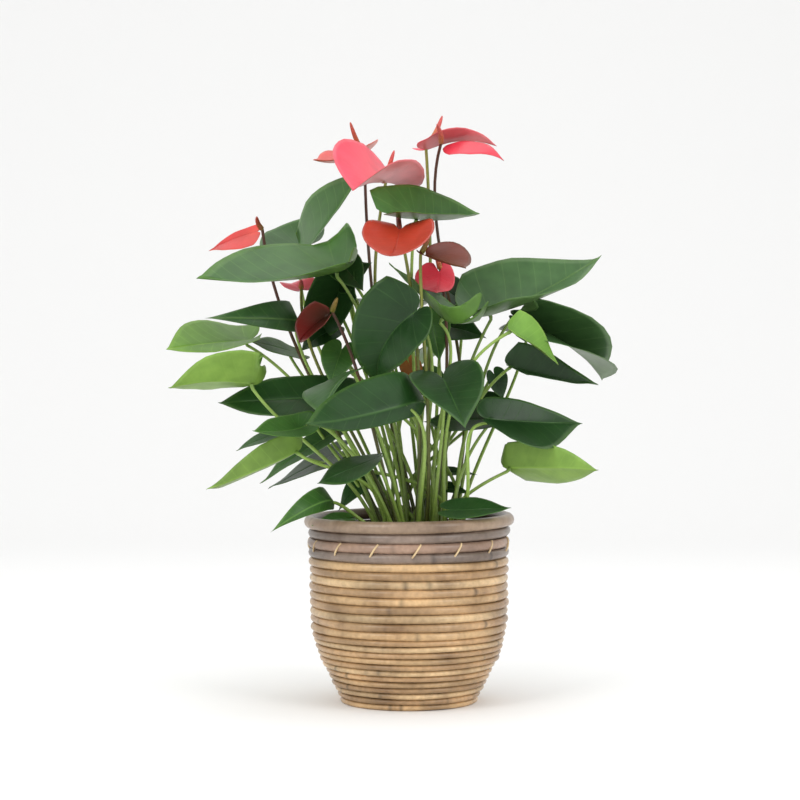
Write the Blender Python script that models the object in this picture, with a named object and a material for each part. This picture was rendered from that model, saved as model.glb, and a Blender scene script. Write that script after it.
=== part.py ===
"""Potted anthurium in a round basket of stacked rattan canes.

Frame: metres, +Z up, the origin at the centre of the basket's resting face, the plant's
open side towards -Y. Each leaf is a heart-shaped blade on its own stalk, and each flower is
a stalk that ends in a spadix, with a separate coloured spathe clasped round it.
"""

from collections import namedtuple
from math import atan2, cos, pi, radians, sin

import bmesh
import bpy
import numpy as np

MM = 0.001

# Driving dimensions
BASKET_HEIGHT = 0.1995
BASKET_WALL = 0.008
RIM_RADIUS = 0.1125
FOOT_RADIUS = 0.073
FLOOR_THICKNESS = 0.008
POT_TOP_RADIUS = 0.095
POT_FOOT_RADIUS = 0.060
POT_TOP = 0.188
POT_WALL = 0.002
SOIL_TOP = 0.178
GAP = 0.0003
CROWN_X = 0.018  # the stalks rise from a patch of soil a little off the basket's axis
LEAF_THICKNESS = 0.0010
SPATHE_THICKNESS = 0.0010
STALK_FOOT_RADIUS = 0.0020
STALK_NECK_RADIUS = 0.00175
JOINT_RADIUS = 0.0021  # the swelling where a stalk meets its blade
SPADIX_RADIUS = 0.0029
NECK_DROP = 0.006  # how far under the blade the stalk starts its last bend
SPATHE_OFFSET = 0.007  # from the stalk to the point where the spathe's veins meet
SPATHE_OFFSETS = {"01": 0.010, "04": 0.0155, "06": 0.0085, "07": 0.010}
STALK_SIDES = 6
BASKET_STEPS = 40

# Outer radius of the basket at each height, foot to rim
BASKET_PROFILE = [
    (FOOT_RADIUS, 0.0),
    (0.0757, 0.009),
    (0.0827, 0.022),
    (0.0887, 0.035),
    (0.0963, 0.048),
    (0.1006, 0.061),
    (0.1038, 0.074),
    (0.1055, 0.087),
    (0.1070, 0.104),
    (0.1065, 0.130),
    (0.1076, 0.156),
    (0.1087, 0.182),
    (RIM_RADIUS, 0.190),
    (RIM_RADIUS, BASKET_HEIGHT),
]

# Right half of a blade's outline from tip to notch: share of the midrib, share of the half width
HEART = [
    (1.0, 0.0), (0.93, 0.05), (0.8, 0.25), (0.62, 0.55), (0.42, 0.82), (0.2, 0.98),
    (-0.02, 0.98), (-0.2, 0.82), (-0.32, 0.55), (-0.34, 0.3), (-0.25, 0.1), (-0.08, 0.0),
]
SPATHE = [
    (1.0, 0.0), (0.93, 0.06), (0.8, 0.27), (0.62, 0.6), (0.42, 0.86), (0.2, 1.0),
    (-0.02, 0.98), (-0.18, 0.8), (-0.27, 0.5), (-0.24, 0.22), (-0.14, 0.13), (-0.03, 0.0),
]
RIM_STEPS = [0, 1.6, 3.2, 4.8, 6.4, 8.2, 11]  # where along those outlines a blade has a corner
BLADE_RINGS = [0.45, 0.78, 1.0]

# A blade, in millimetres and degrees: junction and tip of the midrib, the way its upper side
# faces (bearing from -Y towards +X, elevation), left and right half width and basal lobes as
# shares of the length, bend of the midrib and lift of the lobes, fold of the left and right
# half, cupping, how far the widest place moves towards the tip, and twist. root is where the
# stalk leaves the soil, and rise and reach are the two handles of its curve.
BLADE_FIELDS = "face width lobes bend fold cup peak twist root rise reach shade"
Leaf = namedtuple("Leaf", "name junction tip " + BLADE_FIELDS)
Flower = namedtuple("Flower", "name junction tip spadix " + BLADE_FIELDS)

LEAVES = [
    Leaf("leaf_01", (-118, 66, 489), (-51, 47, 583), (-93, 29), (0.7, 0.12), 0.4,
         (-11, 120), (18, -1), 0.17, 0.15, -31, (-4, 19), (-24, 37, 300), (-57, 56, 404), "mid"),
    Leaf("leaf_02", (-126, 157, 504), (-168, 83, 497), (-11, 43), (0.37, 0.47), 1.31,
         (-40, 34), (25, 11), 0.56, 0.02, -1, (-10, 30), (-49, 57, 311), (-132, 139, 390), "grey"),
    Leaf("leaf_03", (-77, -20, 462), (-221, -82, 452), (1, 63), (0.43, 0.54), 0.95,
         (-19, 102), (30, -3), 0.22, 0.45, 16, (-1, -3), (-4, 0, 284), (-37, 7, 410), "mid"),
    Leaf("leaf_04", (-123, 20, 412), (-218, -34, 412), (2, 1), (0.12, 0.21), 1.09,
         (89, -42), (0, -23), 0.19, 0.01, -4, (-16, -1), (-41, -2, 274), (-124, 68, 347), "grey"),
    Leaf("leaf_05", (-177, 15, 390), (-260, -25, 379), (-5, 59), (0.42, 0.6), 0.65,
         (7, 81), (25, -7), 0.02, 0.41, 29, (-31, 3), (-45, -1, 252), (-117, 27, 353), "lime"),
    Leaf("leaf_06", (-167, -40, 342), (-251, -76, 337), (175, 80), (0.47, 0.44), 1.03,
         (27, 105), (36, 2), 0.12, 0.22, -20, (-30, -9), (-57, -16, 256), (-125, -30, 279), "lime"),
    Leaf("leaf_07", (-85, -5, 329), (-206, -8, 322), (0, 53), (0.28, 0.27), 1,
         (0, 10), (7, 5), 0.34, 0.45, 24, (-19, -12), (-35, -17, 237), (-71, 11, 280), "deep"),
    Leaf("leaf_08", (-116, -82, 295), (-160, -122, 294), (7, 58), (0.38, 0.4), 1.33,
         (-17, 35), (8, 5), 0.4, 0.11, 5, (-14, -22), (-23, -32, 226), (-97, -33, 336), "mid"),
    Leaf("leaf_09", (-118, -75, 271), (-205, -143, 235), (-178, 40), (0.21, 0.39), 0.87,
         (-8, 92), (27, 29), 0.91, 0.2, -4, (-27, -20), (-16, -12, 252), (-86, -53, 246), "lime"),
    Leaf("leaf_10", (-88, 60, 262), (-157, 63, 226), (0, 70), (0.4, 0.4), 0.95,
         (3, 1), (0, 0), 0.28, 0.02, -10, (-21, 29), (-32, 37, 216), (-66, 62, 231), "deep"),
    Leaf("leaf_11", (-60, -75, 354), (-89, -128, 304), (-42, 28), (0.12, 0.75), 0.62,
         (52, 15), (5, -5), -0.07, -0.03, 0, (-3, -25), (-14, -38, 247), (-35, -53, 302), "grey"),
    Leaf("leaf_12", (-2, -95, 321), (-104, -189, 301), (17, 18), (0.12, 0.29), 1.39,
         (-31, -70), (-40, -12), 0.08, 0.3, -12, (10, -37), (9, -80, 246), (32, -85, 302), "deep"),
    Leaf("leaf_13", (37, -75, 344), (56, -152, 296), (-2, 45), (0.44, 0.43), 0.89,
         (10, 0), (18, 16), 0.25, 0.1, 10, (25, -28), (28, -41, 240), (37, -52, 293), "deep"),
    Leaf("leaf_14", (3, -60, 415), (-31, -9, 338), (-33, 38), (0.45, 0.5), 0.62,
         (74, 31), (-1, 53), -0.23, 0.04, 17, (10, -24), (5, -40, 268), (46, -33, 359), "deep"),
    Leaf("leaf_15", (36, -55, 411), (-22, 7, 474), (149, 69), (0.25, 0.41), 1.74,
         (1, 69), (16, 20), 0.45, 0.04, -1, (29, -17), (9, -31, 286), (68, -34, 377), "mid"),
    Leaf("leaf_16", (88, 10, 418), (213, 42, 485), (-15, 70), (0.46, 0.55), 0.69,
         (-16, 44), (21, 14), 0.84, -0.03, -17, (37, 2), (23, 16, 255), (65, 31, 370), "grey"),
    Leaf("leaf_17", (118, 20, 415), (219, 96, 347), (-6, 21), (0.43, 0.61), 0.4,
         (67, 120), (80, 50), 0.42, 0.16, 38, (47, 8), (67, 14, 270), (72, 55, 362), "grey"),
    Leaf("leaf_18", (106, -78, 397), (157, -56, 362), (19, 49), (0.41, 0.44), 0.4,
         (12, 60), (31, 27), 0.3, 0.11, 4, (39, -22), (34, -36, 273), (32, -49, 356), "lime"),
    Leaf("leaf_19", (109, -20, 361), (207, 15, 342), (1, 35), (0.27, 0.41), 0.4,
         (-19, 87), (39, 42), 0.29, 0.23, 7, (47, -4), (54, 9, 271), (60, 24, 321), "deep"),
    Leaf("leaf_20", (84, -60, 305), (186, -24, 300), (11, 49), (0.24, 0.58), 0.4,
         (-5, 55), (21, 18), 0.27, 0.11, -30, (49, -28), (80, -59, 235), (40, -78, 300), "deep"),
    Leaf("leaf_21", (83, -29, 304), (16, 14, 301), (-4, 56), (0.47, 0.39), 1,
         (7, 10), (8, 8), 0.41, 0.13, 7, (49, -15), (42, -43, 223), (59, -13, 267), "deep"),
    Leaf("leaf_22", (107, -39, 253), (194, -107, 253), (173, 37), (0.33, 0.25), 1.13,
         (11, 113), (20, 35), 0.39, 0.29, 17, (60, -18), (22, 4, 199), (63, -50, 231), "lime"),
    Leaf("leaf_23", (-82, -65, 220), (-142, -119, 190), (19, 26), (0.12, 0.2), 0.85,
         (86, -20), (-40, 0), 0.16, 0.14, -1, (-19, -33), (-56, -31, 198), (-73, -30, 219), "mid"),
    Leaf("leaf_24", (-35, -75, 264), (-96, -78, 238), (0, 80), (0.52, 0.51), 0.4,
         (3, 33), (5, -3), -0.1, 0.24, 38, (-6, -36), (-12, -45, 212), (-23, -65, 234), "deep"),
    Leaf("leaf_25", (50, -72, 210), (106, -82, 213), (0, 64), (0.39, 0.41), 1,
         (1, 10), (3, 3), 0.41, 0.03, -5, (36, -41), (38, -46, 193), (48, -62, 195), "deep"),
    Leaf("leaf_26", (-69, 40, 457), (-107, 97, 393), (10, 22), (0.4, 0.45), 1.03,
         (34, 60), (42, 42), 0.68, 0.16, 15, (2, 8), (-11, 15, 289), (-16, 91, 406), "deep"),
    Leaf("leaf_27", (-131, 70, 379), (-177, 41, 390), (1, 63), (0.42, 0.42), 1,
         (7, 10), (0, 0), 0.34, 0.16, 14, (-15, 19), (-39, 35, 265), (-109, 24, 334), "mid"),
    Leaf("leaf_28", (8, -5, 520), (79, 52, 532), (9, 55), (0.5, 0.42), 2.2,
         (-17, 1), (30, 35), -0.01, 0.37, 1, (15, -4), (12, -8, 306), (-4, 19, 417), "mid"),
    Leaf("leaf_29", (-12, 95, 431), (-54, 165, 397), (-165, 55), (0.4, 0.4), 1,
         (30, 10), (8, 8), 0.4, 0, 0, (13, 28), (9, 48, 274), (-5, 67, 353), "deep"),
    Leaf("leaf_30", (60, 85, 440), (119, 165, 461), (150, 60), (0.4, 0.4), 1,
         (30, 10), (8, 8), 0.4, 0, 0, (29, 22), (37, 39, 277), (62, 79, 355), "mid"),
    Leaf("leaf_31", (-67, 118, 439), (-122, 183, 437), (-155, 55), (0.4, 0.4), 1,
         (30, 10), (8, 8), 0.4, 0, 0, (2, 29), (-6, 50, 281), (-53, 89, 358), "deep"),
    Leaf("leaf_32", (-41, 90, 327), (-80, 170, 316), (-170, 50), (0.4, 0.4), 1,
         (30, 10), (8, 8), 0.4, 0, 0, (-3, 39), (-12, 56, 235), (-38, 75, 277), "mid"),
    Leaf("leaf_33", (47, 85, 327), (63, 170, 323), (172, 50), (0.4, 0.4), 1,
         (30, 10), (8, 8), 0.4, 0, 0, (30, 33), (35, 47, 234), (44, 74, 277), "deep"),
    Leaf("leaf_34", (-121, 60, 334), (-162, 140, 327), (-145, 60), (0.4, 0.4), 1,
         (30, 10), (8, 8), 0.4, 0, 0, (-27, 19), (-49, 20, 243), (-102, 35, 278), "mid"),
    Leaf("leaf_35", (133, 70, 403), (181, 140, 399), (150, 60), (0.4, 0.4), 1,
         (30, 10), (8, 8), 0.4, 0, 0, (49, 19), (70, 32, 266), (119, 58, 328), "deep"),
    Leaf("leaf_36", (11, 110, 382), (7, 190, 358), (-180, 45), (0.4, 0.4), 1,
         (30, 10), (8, 8), 0.4, 0, 0, (19, 37), (20, 59, 255), (11, 88, 317), "mid"),
]

FLOWERS = [
    Flower("01", (-50, 111, 603), (-106, 48, 591), (-66, 93, 639), (-1, 89), (0.46, 0.44), 0.98,
           (-28, 6), (21, 11), 0.6, 0.03, 20, (8, 18), (-32, 55, 335), (-48, 76, 469), "coral"),
    Flower("02", (19, 40, 603), (98, 54, 607), (37, 45, 639), (0, 88), (0.37, 0.44), 1.04,
           (45, 41), (11, 21), 0.17, 0.13, 2, (19, 17), (23, 38, 333), (28, 47, 471), "pink"),
    Flower("03", (35, 20, 605), (103, 13, 585), (30, -15, 621), (0, 85), (0.4, 0.5), 0.4,
           (82, -61), (-6, -28), 0.27, 0.07, -15, (28, 10), (113, 4, 313), (2, 112, 497), "rose"),
    Flower("04", (-25, 34, 566), (-60, -55, 545), (-16, 23, 598), (-22, 45), (0.6, 0.75), 2.2,
           (19, -10), (19, 48), 0.25, 0.1, -18, (13, 7), (-27, 25, 345), (-54, 19, 423), "pink"),
    Flower("05", (-10, -45, 505), (-20, -138, 470), (-12, 25, 541), (-2, 45), (0.43, 0.41), 0.98,
           (-29, -28), (8, 2), 0.81, 0.15, 3, (6, -13), (19, -40, 304), (8, -32, 433), "brick"),
    Flower("06", (12, -62, 478), (58, -110, 460), (21, -67, 498), (20, 65), (0.68, 0.12), 0.78,
           (-8, 30), (11, 22), 0.23, 0.34, 18, (17, -16), (29, -55, 284), (9, -64, 427), "olive"),
    Flower("07", (34, 4, 466), (28, -53, 438), (29, -5, 486), (-15, 18), (0.31, 0.49), 1.15,
           (-35, 26), (-28, 9), 0.27, 0.08, -2, (26, -1), (37, 6, 287), (50, 35, 381), "rose"),
    Flower("08", (-82, -30, 419), (-120, 13, 387), (-76, -45, 433), (-17, 16), (0.39, 0.39), 0.62,
           (33, 54), (42, 46), 0.43, 0.16, 9, (-8, -13), (-35, -22, 272), (-52, 1, 367), "crimson"),
    Flower("09", (-163, 60, 515), (-225, 85, 493), (-167, 30, 526), (-10, 44), (0.49, 0.15), 0.4,
           (19, 54), (12, 15), -0.04, 0.04, -4, (-21, 9), (-80, 14, 304), (-150, 75, 402), "coral"),
    Flower("10", (-119, 50, 448), (-139, 103, 454), (-119, 45, 458), (12, 42), (0.38, 0.46), 1,
           (37, 10), (13, 11), 0.28, 0.03, 1, (-10, 9), (-46, 8, 287), (-123, 33, 363), "pink"),
]

LEAF_SHADES = {
    "deep": (0.035, 0.085, 0.025),
    "mid": (0.070, 0.160, 0.045),
    "grey": (0.085, 0.155, 0.080),
    "lime": (0.200, 0.330, 0.080),
}
SPATHE_SHADES = {
    "coral": (0.75, 0.16, 0.13),
    "pink": (0.86, 0.24, 0.30),
    "rose": (0.80, 0.14, 0.20),
    "brick": (0.48, 0.09, 0.06),
    "olive": (0.20, 0.10, 0.04),
    "crimson": (0.35, 0.05, 0.04),
}


def unit(v):
    v = np.asarray(v, float)
    return v / np.linalg.norm(v)


def material(name, colour, roughness):
    made = bpy.data.materials.get(name)
    if made is None:
        made = bpy.data.materials.new(name)
        made.use_nodes = True
        shader = made.node_tree.nodes["Principled BSDF"]
        shader.inputs["Base Color"].default_value = (*colour, 1.0)
        shader.inputs["Roughness"].default_value = roughness
        shader.inputs["Metallic"].default_value = 0.0
    return made


def add_object(name, work, look, sharp_angle=40.0):
    """One object from a finished bmesh, faces turned outwards and round places shaded smooth."""
    bmesh.ops.recalc_face_normals(work, faces=work.faces)
    if work.calc_volume(signed=True) < 0:
        bmesh.ops.reverse_faces(work, faces=work.faces)
    mesh = bpy.data.meshes.new(name)
    work.to_mesh(mesh)
    work.free()
    mesh.shade_smooth()
    mesh.set_sharp_from_angle(angle=radians(sharp_angle))
    mesh.materials.append(look)
    made = bpy.data.objects.new(name, mesh)
    bpy.context.collection.objects.link(made)
    return made


def turned(profile):
    """A closed profile of (radius, height) points spun once round the Z axis."""
    work = bmesh.new()
    ring = [work.verts.new((r, 0.0, z)) for r, z in profile]
    edges = [work.edges.new((ring[i], ring[(i + 1) % len(ring)])) for i in range(len(ring))]
    on_axis = profile[0][0] == 0.0 and profile[-1][0] == 0.0
    if on_axis:
        work.edges.remove(edges.pop())
    bmesh.ops.spin(
        work,
        geom=ring + edges,
        cent=(0, 0, 0),
        axis=(0, 0, 1),
        angle=2 * pi,
        steps=BASKET_STEPS,
        use_merge=True,
    )
    bmesh.ops.remove_doubles(work, verts=work.verts, dist=1e-6)
    return work


def smooth_curve(points, steps):
    """The Catmull-Rom curve through points, read at fractional point numbers."""
    p = np.asarray(points, float)
    p = np.vstack([2 * p[0] - p[1], p, 2 * p[-1] - p[-2]])
    t = np.clip(np.asarray(steps, float), 0, len(points) - 1 - 1e-9)
    i = t.astype(int)
    f = (t - i)[:, None]
    a, b, c, d = p[i], p[i + 1], p[i + 2], p[i + 3]
    bent = (2 * a - 5 * b + 4 * c - d) * f**2 + (3 * b - a - 3 * c + d) * f**3
    return 0.5 * (2 * b + (c - a) * f + bent)


class Blade:
    """A heart-shaped sheet: places on it are (u, v), shares of its length along and across."""

    def __init__(self, row, start, half):
        end = np.array(row.tip, float) * MM
        bearing, height = radians(row.face[0]), radians(row.face[1])
        face = np.array([sin(bearing) * cos(height), -cos(bearing) * cos(height), sin(height)])
        self.start = start
        self.along = unit(end - start)
        self.up = unit(face - face.dot(self.along) * self.along)
        self.across = np.cross(self.along, self.up)
        self.length = np.linalg.norm(end - start)
        self.row = row
        self.half = half
        self.set_midrib(row.bend[0], row.bend[1])

    def set_midrib(self, bend, lift):
        """The midrib is an arc from start to tip, and behind the start the lobes lift off it."""
        u = np.linspace(-0.6, 1.3, 400)
        ahead = bend * (0.5 - u)
        behind = bend * 0.5 - lift * np.clip(-u / 0.3, 0, 1.5)
        slope = np.radians(np.where(u > 0, ahead, behind))
        step = u[1] - u[0]
        x = np.concatenate([[0], np.cumsum(np.cos(slope[1:]) + np.cos(slope[:-1])) * step / 2])
        y = np.concatenate([[0], np.cumsum(np.sin(slope[1:]) + np.sin(slope[:-1])) * step / 2])
        x -= np.interp(0, u, x)
        y -= np.interp(0, u, y)
        tip_x, tip_y = np.interp(1, u, x), np.interp(1, u, y)
        scale = self.length / np.hypot(tip_x, tip_y)
        turn = atan2(tip_y, tip_x)
        self.u = u
        self.mid_x = scale * (cos(turn) * x + sin(turn) * y)
        self.mid_y = scale * (cos(turn) * y - sin(turn) * x)
        self.slope = slope - turn

    def at(self, u, v):
        """Points in space for arrays of u and v: along the midrib, then out over a folded arc."""
        row = self.row
        x = np.interp(u, self.u, self.mid_x)[:, None]
        y = np.interp(u, self.u, self.mid_y)[:, None]
        slope = np.interp(u, self.u, self.slope)[:, None]
        up = np.cos(slope) * self.up - np.sin(slope) * self.along
        fold = np.radians(np.where(v > 0, row.fold[1], row.fold[0]))
        cup = row.cup if abs(row.cup) > 0.001 else 0.001
        reach = np.abs(v)
        out = (np.sin(fold + cup * reach) - np.sin(fold)) / cup * np.sign(v) * self.length
        rise = (np.cos(fold) - np.cos(fold + cup * reach)) / cup * self.length
        turn = np.radians(row.twist) * u
        side = (out * np.cos(turn) - rise * np.sin(turn))[:, None]
        lift = (out * np.sin(turn) + rise * np.cos(turn))[:, None]
        return self.start + x * self.along + y * self.up + side * self.across + lift * up

    def rim(self):
        """The outline as (u, v), tip first, by the right side and the notch to the left side."""
        edge = smooth_curve(self.half, RIM_STEPS)
        edge[0, 1] = edge[-1, 1] = 0.0
        edge[-1, 0] = self.half[-1][0]
        u = edge[:, 0]
        edge[:, 0] = np.where(u < 0, u * self.row.lobes, u + self.row.peak * u * (1 - u))
        left, right = self.row.width
        return np.vstack([edge * [1, right], (edge * [1, -left])[-2:0:-1]])

    def sheet(self, thickness, eye):
        """Upper and lower points: the start, a small round eye, then rings out to the rim."""
        edge = self.rim()
        bearing = 2 * pi * np.arange(len(edge)) / len(edge)
        room = 0.55 * BLADE_RINGS[0] * np.hypot(edge[:, 0], edge[:, 1])
        radius = np.minimum(eye / self.length, room)
        eye_ring = np.stack([radius * np.cos(bearing), radius * np.sin(bearing)], 1)
        flat = np.concatenate([[[0.0, 0.0]], eye_ring] + [share * edge for share in BLADE_RINGS])
        u, v = flat.T
        small = 0.004
        tangent_u = self.at(u + small, v) - self.at(u - small, v)
        tangent_v = self.at(u, v + small) - self.at(u, v - small)
        normal = np.cross(tangent_v, tangent_u)
        normal /= np.linalg.norm(normal, axis=1)[:, None]
        if normal[0].dot(self.up) < 0:
            normal = -normal
        middle = self.at(u, v)
        return middle + normal * thickness / 2, middle - normal * thickness / 2, len(edge)


def curve_points(start, first, second, end, count=8):
    t = np.linspace(0, 1, count)[:, None]
    return (
        (1 - t) ** 3 * start
        + 3 * (1 - t) ** 2 * t * first
        + 3 * (1 - t) * t**2 * second
        + t**3 * end
    )


def ring_directions(path, first_axis):
    """Two axes square to the path at each point, carried along it without twisting."""
    forward = np.gradient(path, axis=0)
    forward /= np.linalg.norm(forward, axis=1)[:, None]
    axis = np.asarray(first_axis, float)
    pairs = []
    for direction in forward:
        axis = unit(axis - axis.dot(direction) * direction)
        pairs.append((axis, np.cross(direction, axis)))
    return pairs


def tube_rings(work, path, radii, sides, pairs):
    """Rings of new vertices round a path. The first ring lies level on the soil."""
    rings = []
    for number, (centre, radius) in enumerate(zip(path, radii)):
        a, b = pairs[number]
        ring = []
        for k in range(sides):
            turn = 2 * pi * k / sides
            place = centre + radius * (cos(turn) * a - sin(turn) * b)
            if number == 0:
                place[2] = centre[2]
            ring.append(work.verts.new(place))
        rings.append(ring)
    return rings


def bridge(work, low, high):
    for k in range(len(low)):
        n = (k + 1) % len(low)
        work.faces.new((low[k], low[n], high[n], high[k]))


def stalk_foot(row):
    return np.array([row.root[0] * MM, row.root[1] * MM, SOIL_TOP + GAP])


def stalk_path(row, end):
    return curve_points(stalk_foot(row), np.array(row.rise) * MM, np.array(row.reach) * MM, end)


def add_leaf(row):
    """Blade and stalk as one closed body: the blade's underside opens into the stalk's tube."""
    start = np.array(row.junction, float) * MM
    blade = Blade(row, start, HEART)
    upper, lower, count = blade.sheet(LEAF_THICKNESS, eye=0.0026)
    work = bmesh.new()
    top = [work.verts.new(p) for p in upper]
    bottom = [None] + [work.verts.new(p) for p in lower[1:]]
    rings = len(BLADE_RINGS) + 1

    def ring(points, number):
        return points[1 + number * count : 1 + (number + 1) * count]

    eye = ring(top, 0)
    for k in range(count):
        work.faces.new((top[0], eye[k], eye[(k + 1) % count]))
    for number in range(rings - 1):
        bridge(work, ring(top, number), ring(top, number + 1))
        bridge(work, ring(bottom, number), ring(bottom, number + 1))
    bridge(work, ring(top, rings - 1), ring(bottom, rings - 1))

    neck = start - NECK_DROP * blade.up - 0.001 * blade.along
    path = stalk_path(row, neck)
    radii = np.linspace(STALK_FOOT_RADIUS, STALK_NECK_RADIUS, len(path))
    radii[-1] = JOINT_RADIUS
    back = ring_directions(path[::-1], blade.along)[::-1]
    pairs = [(a, -b) for a, b in back]
    pairs[-1] = (blade.along, -blade.across)
    tubes = tube_rings(work, path, radii, STALK_SIDES, pairs)
    for low, high in zip(tubes[:-1], tubes[1:]):
        bridge(work, low, high)
    work.faces.new(tubes[0])
    join_neck(work, tubes[-1], ring(bottom, 0))
    work.normal_update()
    bmesh.ops.triangulate(work, faces=work.faces)
    look = material("leaf_" + row.shade, LEAF_SHADES[row.shade], 0.42)
    return add_object(row.name, work, look, sharp_angle=60.0)


def join_neck(work, neck, eye):
    """Faces from the stalk's last ring to the eye under the blade, which has twice the corners."""
    for k in range(len(neck)):
        low, low_next = neck[k], neck[(k + 1) % len(neck)]
        a, b, c = eye[2 * k], eye[2 * k + 1], eye[(2 * k + 2) % len(eye)]
        work.faces.new((low, a, b))
        work.faces.new((low, b, low_next))
        work.faces.new((low_next, b, c))


def flower_path(row):
    """Stalk and spadix as one line of points with a radius each."""
    start = np.array(row.junction, float) * MM
    tip = np.array(row.spadix, float) * MM
    stalk = stalk_path(row, start)
    radii = list(np.linspace(STALK_FOOT_RADIUS, STALK_NECK_RADIUS, len(stalk)))
    length = np.linalg.norm(tip - start)
    direction = unit(tip - start)
    stations = [
        (0.002, 0.0018),
        (0.0045, SPADIX_RADIUS),
        (0.5 * length, SPADIX_RADIUS),
        (0.85 * length, 0.86 * SPADIX_RADIUS),
        (length - 0.0016, 0.62 * SPADIX_RADIUS),
        (length, 0.28 * SPADIX_RADIUS),
    ]
    points = [start + direction * along for along, _ in stations]
    return np.vstack([stalk, points]), radii + [radius for _, radius in stations]


def add_tube(name, path, radii, look, sides=STALK_SIDES):
    work = bmesh.new()
    rings = tube_rings(work, path, radii, sides, ring_directions(path, (1.0, 0.0, 0.0)))
    for low, high in zip(rings[:-1], rings[1:]):
        bridge(work, low, high)
    work.faces.new(rings[0])
    work.faces.new(rings[-1])
    return add_object(name, work, look, sharp_angle=60.0)


def add_flower(row):
    look = material("flower_stalk", (0.24, 0.26, 0.09), 0.45)
    path, radii = flower_path(row)
    add_tube("flower_stem_" + row.name, path, radii, look)

    stalk_end = np.array(row.junction, float) * MM
    tip = np.array(row.tip, float) * MM
    offset = SPATHE_OFFSETS.get(row.name, SPATHE_OFFSET) * unit(tip - stalk_end)
    blade = Blade(row, stalk_end + offset, SPATHE)
    upper, lower, count = blade.sheet(SPATHE_THICKNESS, eye=0.0016)
    work = bmesh.new()
    top = [work.verts.new(p) for p in upper]
    bottom = [work.verts.new(p) for p in lower]
    rings = len(BLADE_RINGS) + 1
    for points in (top, bottom):
        eye = points[1 : 1 + count]
        for k in range(count):
            work.faces.new((points[0], eye[k], eye[(k + 1) % count]))
        for number in range(rings - 1):
            inner = points[1 + number * count : 1 + (number + 1) * count]
            outer = points[1 + (number + 1) * count : 1 + (number + 2) * count]
            bridge(work, inner, outer)
    bridge(work, top[-count:], bottom[-count:])
    bmesh.ops.triangulate(work, faces=work.faces)
    look = material("spathe_" + row.shade, SPATHE_SHADES[row.shade], 0.35)
    add_object("spathe_" + row.name, work, look, sharp_angle=60.0)


def add_basket():
    cane = material("rattan", (0.42, 0.29, 0.16), 0.45)
    outer = BASKET_PROFILE
    inner = [(r - BASKET_WALL, z) for r, z in outer]
    wall = turned(outer + inner[::-1])
    add_object("rattan_basket", wall, cane)

    floor_radius = FOOT_RADIUS - BASKET_WALL - GAP
    floor = turned([(0.0, 0.0), (floor_radius, 0.0), (floor_radius, FLOOR_THICKNESS), (0.0, FLOOR_THICKNESS)])
    add_object("basket_base", floor, cane)


def add_nursery_pot():
    plastic = material("nursery_plastic", (0.03, 0.03, 0.03), 0.5)
    foot = FLOOR_THICKNESS + GAP
    shell = turned(
        [
            (0.0, foot),
            (POT_FOOT_RADIUS, foot),
            (POT_TOP_RADIUS, POT_TOP),
            (POT_TOP_RADIUS - POT_WALL, POT_TOP),
            (POT_FOOT_RADIUS - POT_WALL, foot + POT_WALL),
            (0.0, foot + POT_WALL),
        ]
    )
    add_object("nursery_pot", shell, plastic)

    peat = material("potting_mix", (0.055, 0.030, 0.018), 0.95)
    low = foot + POT_WALL + GAP
    slope = (POT_TOP_RADIUS - POT_FOOT_RADIUS) / (POT_TOP - foot)
    wide_low = POT_FOOT_RADIUS - POT_WALL - 2 * GAP
    wide_top = POT_FOOT_RADIUS - POT_WALL - 2 * GAP + slope * (SOIL_TOP - low)
    mix = turned([(0.0, low), (wide_low, low), (wide_top, SOIL_TOP), (0.0, SOIL_TOP)])
    add_object("potting_mix", mix, peat)


def main():
    for old in list(bpy.data.objects):
        bpy.data.objects.remove(old, do_unlink=True)
    add_basket()
    add_nursery_pot()
    for row in LEAVES:
        add_leaf(row)
    for row in FLOWERS:
        add_flower(row)


main()
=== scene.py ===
"""The look of a potted anthurium in a basket of stacked rattan canes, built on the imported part.

Frame: metres, +Z up, the origin at the centre of the basket's resting face, the plant's open
side towards -Y.
"""

from collections import namedtuple
from math import cos, pi, radians, sin

import bpy
import numpy as np
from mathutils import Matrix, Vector


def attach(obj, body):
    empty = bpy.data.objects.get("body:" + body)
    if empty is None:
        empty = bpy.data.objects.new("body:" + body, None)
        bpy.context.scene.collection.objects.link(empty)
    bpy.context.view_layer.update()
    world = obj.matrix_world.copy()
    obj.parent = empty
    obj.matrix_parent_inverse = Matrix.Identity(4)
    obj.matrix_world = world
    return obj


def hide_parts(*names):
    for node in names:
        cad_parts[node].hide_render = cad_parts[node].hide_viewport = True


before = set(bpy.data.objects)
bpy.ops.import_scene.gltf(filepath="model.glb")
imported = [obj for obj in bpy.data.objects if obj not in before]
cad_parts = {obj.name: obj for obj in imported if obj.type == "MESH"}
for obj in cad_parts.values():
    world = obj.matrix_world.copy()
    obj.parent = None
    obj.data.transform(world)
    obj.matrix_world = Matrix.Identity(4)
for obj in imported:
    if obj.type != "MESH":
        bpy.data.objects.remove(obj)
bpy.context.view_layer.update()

# ---------------------------------------------------------------- sizes, in metres

MM = 0.001
SOIL_TOP = 0.178
LEAF_THICKNESS = 0.0008
SPATHE_THICKNESS = 0.0009
SPADIX_RADIUS = 0.0031
FOOT_SINK = 0.004  # how far a stalk's foot goes into the mix
SPATHE_OFFSET = 0.007  # from the stalk to the point where the spathe's veins meet
SPATHE_OFFSETS = {"01": 0.010, "04": 0.0155, "06": 0.0085, "07": 0.010}

# The basket's coils: the rim's thick one lies between the first two heights
RIM_TOP, RIM_FOOT = 0.1995, 0.187
BROAD_COIL, BROAD_COILS = 0.0103, 3
NARROW_COIL, NARROW_COILS = 0.0088, 9
FOOT_COILS = 12
RIM_RISE = 0.0045
LASHINGS = 15

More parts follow.
